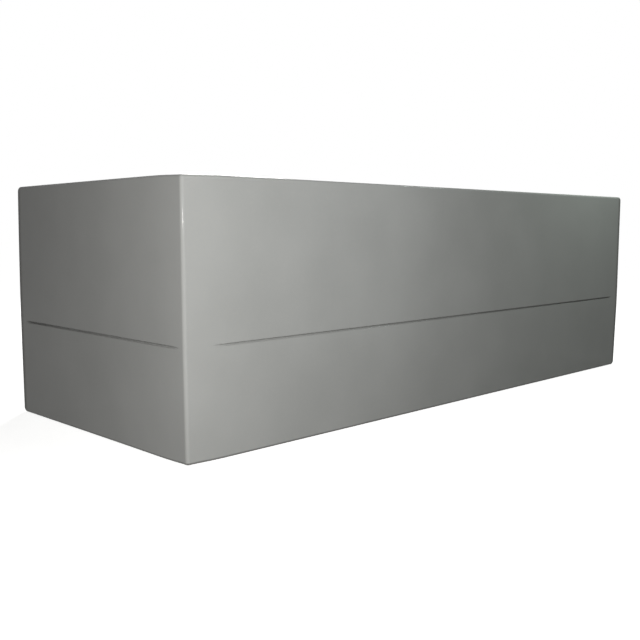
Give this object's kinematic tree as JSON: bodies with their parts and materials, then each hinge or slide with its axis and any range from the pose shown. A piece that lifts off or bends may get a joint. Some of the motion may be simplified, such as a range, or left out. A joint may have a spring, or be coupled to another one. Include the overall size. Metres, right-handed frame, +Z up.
{
  "type": "bath panel",
  "caption": "L-shaped moulded bath panel in one grey sheet: a front and one end with a rounded corner, turned-in edges, a thin stopped groove on each face and a foot that leans in.",
  "frame": {"origin": "on the floor, under the centre of the panel's bounding box", "axes": "+X along the front from the corner to its free end, +Y from the front towards the wall behind the bath, +Z up; the front faces -Y and the end faces -X"},
  "size_m": [1.69, 0.68, 0.54],
  "materials": {
    "moulded_sheet": "smooth semi-gloss grey acrylic"
  },
  "bodies": {
    "root": {"bath_panel": "moulded_sheet"}
  },
  "joints": []
}
